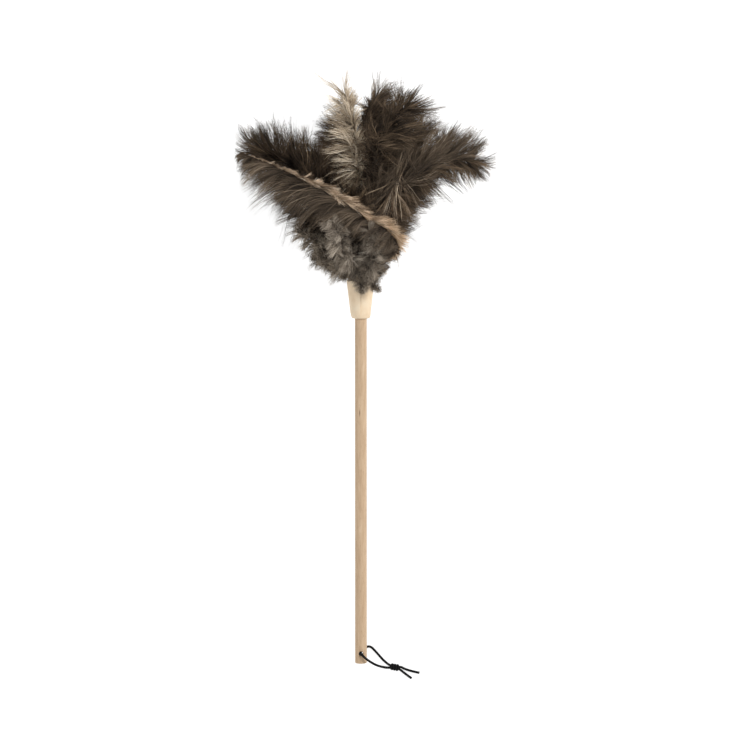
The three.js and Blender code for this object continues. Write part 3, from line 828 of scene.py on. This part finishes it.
PLUME_STYLES = {
    # The pale plume at the top.
    ("core_plume", 1): dict(
        route=PALE_ROUTE, look="pale", reach=50, behind=0.5, roll=35, angle=(80, 62, 30),
        comb=(-0.2, 0.1, 0), angle_behind=(70, 30, 14), comb_behind=(-0.1, 0.4, 0),
        comb_base=(-0.8, -1.4, 0.1), clump_length=1.3, wander=1.0, curl=0.8, first=0.5, barbs=14,
        width=0.8, strays=0.4, splay=20, profile=(0.3, 0.5, 0.6, 0.9, 1.0)),
    # Dark plumes that sweep up and to the right, the first with barbs on its right side.
    ("core_plume", 0): dict(
        route=TOP_ROUTE, reach=76, angle=(70, 50, 26), comb=(0.2, 0.3, 0),
        angle_behind=(75, 66, 34), comb_behind=(0.4, 0.25, -0.1), comb_base=(0.1, -1.2, 0.2),
        ahead=0.25, barbs=38, wander=1.0, first=0.57, splay=20, **FINE_LOCKS),
    ("inner_plume", 1): dict(
        route=RIGHT_TOP_ROUTE, reach=64, angle=(70, 60, 50), wander=0.8, ahead=0.8,
        comb=(0.8, 0.3, -0.1), barbs=26, first=0.55, splay=20, **FINE_LOCKS),
    ("inner_plume", 0): dict(
        reach=64, angle=(60, 54, 46), comb=(0.7, 0.4, 0.1), end=0.78, wander=0.8, barbs=22,
        first=0.45, **FINE_LOCKS),
    ("middle_plume", 1): dict(
        reach=50, angle=(60, 46, 34), comb=(0.3, -0.6, 0.1), look="black", barbs=16),
    # The wing on the right.
    ("outer_plume", 0): dict(
        route=RIGHT_WING_ROUTE, reach=60, angle=(60, 50, 40), wander=0.8, comb=(0.9, 0.3, 0),
        comb_behind=(0.7, -0.9, -0.3), barbs=28, behind=0.85, look_behind="dark",
        splay=20, **FINE_LOCKS),
    ("middle_plume", 0): dict(
        reach=60, angle=(60, 52, 44), comb=(0.4, 0.6, 0.1), comb_behind=(0.6, -0.3, -0.1),
        behind=0.6, wander=0.8, barbs=24, splay=20, **FINE_LOCKS),
    ("outer_plume", 7): dict(reach=28, comb=(0.4, 0.2, -0.1), look="black", end=0.62),
    # The wing on the left: long barbs that lie close along one side of its rachis, and short tan
    # ones that lie back over the rachis itself.
    ("outer_plume", 2): dict(
        route=LEFT_WING_ROUTE, look_behind="tan", reach=100, behind=0.36,
        angle=(50, 38, 24), comb=(-0.35, -0.9, -0.35), angle_behind=(155, 158, 160),
        comb_behind=(0.3, -0.25, 0.35), roll=34, barbs=50, wander=0.8,
        profile=(0.12, 0.2, 0.32, 0.82, 0.2), profile_behind=(0.0, 0.0, 0.72, 0.6, 0.0),
        clump_length=0.7, gather=0.7, first=0.17, splay=8),
    ("middle_plume", 4): dict(
        route=LEFT_BACK_ROUTE, reach=66, angle=(75, 62, 50), comb=(-0.4, 0.8, 0.2), look="black",
        barbs=34, wander=0.9, splay=18, **FINE_LOCKS),
    ("outer_plume", 3): dict(reach=42, comb=(-0.6, -0.7, 0), barbs=26, end=0.58),
    ("outer_plume", 4): dict(comb=(-0.4, -0.6, 0.1), end=0.7),
    ("middle_plume", 3): dict(reach=50, comb=(-0.3, 0.5, 0.1), look="black", end=0.7),
    # Short dark plumes inside the hollow of the head, with light barbs that hang over them.
    ("inner_plume", 2): dict(
        route=UNDER_WING_ROUTE, look="black", comb=(0, -0.3, 0), wander=0.9, barbs=30, reach=46,
        roll=50),
    ("middle_plume", 2): dict(
        look="streaked", comb=(0.1, -0.4, 0.2), wander=0.9, barbs=24, curl=1.6, reach=48),
    ("outer_plume", 1): dict(
        route=HANGING_ROUTE, look="streaked", look_behind="tan", comb=(-0.1, -0.8, 0),
        comb_behind=(-0.2, -0.8, 0), reach=62, angle=(155, 150, 145), wander=0.5, barbs=7,
        curl=0.4, first=0.55, splay=14, clump_length=0.9),
    # Downy feathers on top of the head's base, and those by the cuff's seam, which stand clear of it.
    ("lower_plume", 1): dict(route=DOWNY_RIGHT_ROUTE, reach=31, **DOWNY),
    ("lower_plume", 2): dict(route=DOWNY_LEFT_ROUTE, reach=27, **DOWNY),
    ("lower_plume", 3): dict(reach=32, barbs=28, comb=(-0.5, -0.5, 0)),
    ("ruff_feather", 3): dict(comb=(-0.4, 0.6, 0.3), first=0.3),
    ("rim_feather", 2): dict(reach=4, end=0.3, barbs=10),
    # Short plumes on the side where the head is narrow.
    ("lower_plume", 0): dict(reach=20, comb=(-0.3, 0.3, 0.2), end=0.55, look="dark"),
    ("lower_plume", 7): dict(reach=20, comb=(-0.3, 0.3, 0), end=0.55, look="dark"),
    ("ruff_feather", 0): dict(reach=17, end=0.45),
    ("ruff_feather", 1): dict(reach=17, end=0.5),
    ("ruff_feather", 8): dict(reach=17, end=0.5),
}


# Each look: the colours of its darkest, middle, light and lightest barbs.
BARB_COLOURS = {
    "black": ((0.005, 0.0035, 0.002), (0.026, 0.017, 0.010), (0.13, 0.088, 0.052), (0.50, 0.37, 0.23)),
    "dark": ((0.008, 0.005, 0.003), (0.050, 0.034, 0.021), (0.21, 0.148, 0.093), (0.52, 0.39, 0.26)),
    "brown": ((0.010, 0.0065, 0.004), (0.070, 0.050, 0.033), (0.235, 0.177, 0.122), (0.54, 0.43, 0.31)),
    "grey": ((0.013, 0.0095, 0.0065), (0.135, 0.108, 0.080), (0.56, 0.475, 0.375), (0.86, 0.78, 0.66)),
    "downy": ((0.015, 0.0115, 0.008), (0.165, 0.134, 0.101), (0.50, 0.43, 0.35), (0.76, 0.69, 0.59)),
    "tan": ((0.05, 0.030, 0.015), (0.42, 0.285, 0.175), (0.85, 0.655, 0.455), (0.93, 0.82, 0.66)),
    "pale": ((0.09, 0.066, 0.044), (0.54, 0.435, 0.31), (0.93, 0.83, 0.68), (0.98, 0.92, 0.82)),
    "streaked": ((0.006, 0.004, 0.0026), (0.030, 0.021, 0.013), (0.46, 0.34, 0.225), (0.80, 0.66, 0.50)),
}
FAR_TINTS = {"tan": (0.95, 1.0, 1.08)}


def feather_looks():
    """The looks that the styles name."""
    looks = {"quill": quill_material()}
    for name, colours in BARB_COLOURS.items():
        looks[name] = feather_material(f"{name}_barbs", *colours, far=FAR_TINTS.get(name))
    return looks


def plumes():
    looks = feather_looks()
    for name, tier in TIERS.items():
        for index in range(len(tier["plumes"])):
            style = {**STYLE, **TIER_STYLES[name], **PLUME_STYLES.get((name, index), {})}
            made = plume_object(name, index, style, looks)


# ---------------- handle, cuff and cord


def apply_modifiers(made):
    """Replaces an object's mesh by what its modifiers make of it."""
    graph = bpy.context.evaluated_depsgraph_get()
    mesh = bpy.data.meshes.new_from_object(made.evaluated_get(graph))
    made.modifiers.clear()
    made.data = mesh


def turned(profile, sides):
    """A body turned about the handle's axis from (radius, along) points that start and end on it."""
    angle = np.arange(sides) * 2 * np.pi / sides
    radius, along = np.array(profile[1:-1]).T[..., None]
    rings = np.stack([radius * np.cos(angle), along * np.ones(sides), radius * np.sin(angle)], -1)
    ends = [(0.0, profile[0][1], 0.0), (0.0, profile[-1][1], 0.0)]
    return np.vstack([rings.reshape(-1, 3), ends]), closed_faces(len(profile) - 2, sides)


def drill(material):
    """What the hanging hole is cut with: a round bar that is wider where it leaves the handle."""
    angle = np.arange(HOLE_SIDES) * 2 * np.pi / HOLE_SIDES
    inner = HANDLE_RADIUS - HOLE_MOUTH
    outer = HANDLE_RADIUS + HOLE_MOUTH
    wide = HOLE_RADIUS + 2 * HOLE_MOUTH
    radius = np.array([wide, HOLE_RADIUS, HOLE_RADIUS, wide])[:, None]
    height = np.array([-outer, -inner, inner, outer])[:, None]
    rings = np.stack([
        radius * np.cos(angle), HOLE_FROM_BUTT + radius * np.sin(angle), height * np.ones(HOLE_SIDES),
    ], -1).reshape(-1, 3)
    end = np.arange(HOLE_SIDES)
    faces = [*grid_faces(len(radius), HOLE_SIDES), end[::-1], len(rings) - HOLE_SIDES + end]
    return mesh_object("drill", to_scene(rings), faces, material)


def handle(material):
    """The dowel, with a rounded butt and the hanging hole."""
    length = RIM + CORE_PAST_RIM
    rounding = [(HANDLE_RADIUS - BUTT_CHAMFER * (1 - math.sin(a)), BUTT_CHAMFER * (1 - math.cos(a)))
                for a in np.linspace(0, math.pi / 2, BUTT_RINGS)]
    shaft = [(HANDLE_RADIUS, y) for y in np.linspace(SHAFT_STARTS, length, SHAFT_RINGS)]
    vertices, faces = turned([(0, 0), *rounding, *shaft, (0, length)], HANDLE_SIDES)
    made = mesh_object("handle_wood", to_scene(vertices), faces, material)
    tool = drill(material)
    hole = made.modifiers.new("hole", "BOOLEAN")
    hole.operation = "DIFFERENCE"
    hole.object = tool
    hole.solver = "EXACT"
    apply_modifiers(made)
    bpy.data.objects.remove(tool)
    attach(made, "duster")
    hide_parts("handle")


def cuff_outline():
    """The leather cut along the cuff, as (radius, along) points.

    It goes over the edge at the rim, down the outside, round the fold at the lower edge, up along
    the dowel, and back up the inside.
    """
    rim_out = RIM_RADIUS - RIM_INSET
    rim_in = rim_out - LEATHER
    edge = [(rim_in, RIM - 7), (rim_in, RIM - 0.7), (rim_out - 0.6 * LEATHER, RIM),
            (rim_out - 0.3 * LEATHER, RIM), (rim_out, RIM - 0.7)]
    narrows = CUFF_BOTTOM_RADIUS - BOTTOM_INSET - rim_out
    height = RIM - CUFF_BOTTOM - 11
    cone = [(rim_out + narrows * f, RIM - 1.5 - height * f) for f in np.linspace(0, 1, CONE_POINTS)]
    lining = HANDLE_RADIUS + LINING_GAP
    fold = [(14.5, CUFF_BOTTOM + 4.2), (14.2, CUFF_BOTTOM + 2.2), (13.4, CUFF_BOTTOM + 0.8),
            (12.0, CUFF_BOTTOM + 0.2), (10.4, CUFF_BOTTOM + 0.2), (lining, CUFF_BOTTOM + 1.2),
            (lining, CUFF_BOTTOM + LINING_LENGTH)]
    inside = [(lining + LEATHER, CUFF_BOTTOM + LINING_LENGTH),
              (lining + LEATHER + 0.15, CUFF_BOTTOM + 5), (12.4, CUFF_BOTTOM + 5.5),
              (rim_in - 2.4, RIM - 30)]
    return np.array([*edge, *cone, *fold, *inside])


def cuff(material):
    """Leather wrapped into a cone, lapped at a seam, and turned in at its lower edge.

    The outline grows outwards round the cone, so that its end lies over its start.
    """
    outline = cuff_outline()
    turns = np.linspace(0, 2 * np.pi + LAP, CUFF_STEPS)
    above_fold = np.clip((outline[:, 1] - CUFF_BOTTOM - 2) / 8, 0, 1)
    grows = (turns / (2 * np.pi))[:, None] * LEATHER * above_fold[None, :]
    radius = outline[None, :, 0] + grows
    along = np.broadcast_to(outline[None, :, 1], radius.shape)
    angle = SEAM - turns[:, None]
    vertices = np.stack([radius * np.cos(angle), along, radius * np.sin(angle)], -1).reshape(-1, 3)
    end = np.arange(len(outline))
    faces = [*grid_faces(CUFF_STEPS, len(outline)), end[::-1], len(vertices) - len(outline) + end]
    made = mesh_object("cuff_leather", to_scene(vertices), faces, material)
    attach(made, "duster")
    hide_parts("cuff")


def braid(angle, run):
    """Relief of a round braid: small diamonds where two sets of strands cross."""
    one = np.abs(np.sin(2 * angle + BRAID_RATE * run))
    two = np.abs(np.sin(2 * angle - BRAID_RATE * run))
    return 1 - BRAID_DEPTH + BRAID_DEPTH * np.maximum(one, two)


def cord_tube(points):
    """The cord's mesh along points that are counted from the hole, and its smooth route."""
    route = smooth_route(np.array(points) + [HOLE[0], HOLE[1], 0.0], CORD_STEP)
    vertices, faces = tube(route, CORD_DIAMETER / 2, CORD_SIDES, braid)
    return vertices, faces, route


def knot_route(lag):
    """The turns that one end of the cord makes in the knot, lag behind the other's in turns."""
    turns = np.linspace(-KNOT_TURNS, KNOT_TURNS, KNOT_STEPS)
    near_end = np.clip((KNOT_TURNS + 0.05 - np.abs(turns)) / 0.2, 0.25, 1)
    grip = KNOT_GRIP * near_end
    ahead = np.array([math.cos(KNOT_HEADING), math.sin(KNOT_HEADING), 0.0])
    across = np.array([-ahead[1], ahead[0], 0.0])
    up = np.array([0, 0, 1.0])
    swing = (turns + lag) * 2 * np.pi
    return (KNOT_CENTRE + ahead * (turns * KNOT_PITCH)[:, None] + across * (grip * np.cos(swing))[:, None]
            + up * (grip * KNOT_FLATTENING * np.sin(swing))[:, None])


def cord_knot(material):
    """The knot: the cord's two ends turned round each other, half a turn apart."""
    one, one_faces, _ = cord_tube(knot_route(0))
    two, two_faces, _ = cord_tube(knot_route(0.5))
    faces = [*one_faces, *[np.asarray(face) + len(one) for face in two_faces]]
    made = mesh_object("cord_knot_turns", np.vstack([one, two]), faces, material)
    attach(made, "hang_loop")
    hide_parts("cord_knot")
    return made


def cord_end(name, points, nodes, material):
    """One end of the cord, from the middle of the hole through the knot to its tail."""
    vertices, faces, route = cord_tube(points)
    made = mesh_object(name, vertices, faces, material)
    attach(made, "hang_loop")
    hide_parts(*nodes)


def hanging_cord(material):
    knot = cord_knot(material)
    front = [*LOOP_ROUTE[MIDDLE_OF_HOLE::-1], FRONT_IN_KNOT, *FRONT_TAIL]
    back = [*LOOP_ROUTE[MIDDLE_OF_HOLE:], BACK_IN_KNOT, *BACK_TAIL]
    cord_end("cord_front", front, ("hang_cord", "cord_tail_front"), material)
    cord_end("cord_back", back, ("cord_tail_back",), material)


def wires(material):
    for node in ("cuff_wire", "inner_wire", "outer_wire"):
        mesh = frame["nodes"][node].data
        mesh.materials.clear()
        mesh.materials.append(material)


# ---------------- stage


def floor_material():
    """Pale paint that glows a little, so that shadows stay faint on it."""
    n = Nodes("floor_paint")
    n.set(Base_Color=(*grey(0.35), 1), Roughness=0.9, Specular_IOR_Level=0.1)
    n.set(Emission_Color=(*grey(1), 1), Emission_Strength=0.85)
    return n.material


def floor():
    half = FLOOR_HALF_WIDTH / MM
    corners = [(-half, -half, 0), (half, -half, 0), (half, half, 0), (-half, half, 0)]
    made = mesh_object("floor", corners, [(0, 1, 2, 3)], floor_material())


def area_light(name, place, size, power):
    data = bpy.data.lights.new(name, "AREA")
    data.shape = "DISK"
    data.size = size
    data.energy = power
    made = bpy.data.objects.new(name, data)
    made.location = place
    way = Vector(np.subtract(LIT_PLACE, place))
    made.rotation_euler = way.to_track_quat("-Z", "Y").to_euler()
    bpy.context.scene.collection.objects.link(made)


def lights():
    world = bpy.data.worlds.new("studio")
    world.use_nodes = True
    sky = world.node_tree.nodes["Background"]
    sky.inputs["Color"].default_value = (1, 1, 1, 1)
    sky.inputs["Strength"].default_value = SKY_STRENGTH
    bpy.context.scene.world = world
    area_light("key", KEY_PLACE, size=1.1, power=72)
    area_light("fill", FILL_PLACE, size=2.4, power=22)


def camera():
    """Straight above, with a long lens, so that the whole duster stands in the frame."""
    data = bpy.data.cameras.new("camera")
    data.lens = LENS_MM
    data.sensor_width = SENSOR_MM
    data.clip_end = FAR_CLIP
    made = bpy.data.objects.new("camera", data)
    made.location = (*CAMERA_PLACE, FRAME_WIDTH * LENS_MM / SENSOR_MM)
    bpy.context.scene.collection.objects.link(made)
    bpy.context.scene.camera = made
    bpy.context.scene.view_settings.view_transform = "Standard"


camera()
hanging_cord(cord_material())
handle(wood_material())
cuff(leather_material())
wires(wire_material())
plumes()
floor()
lights()
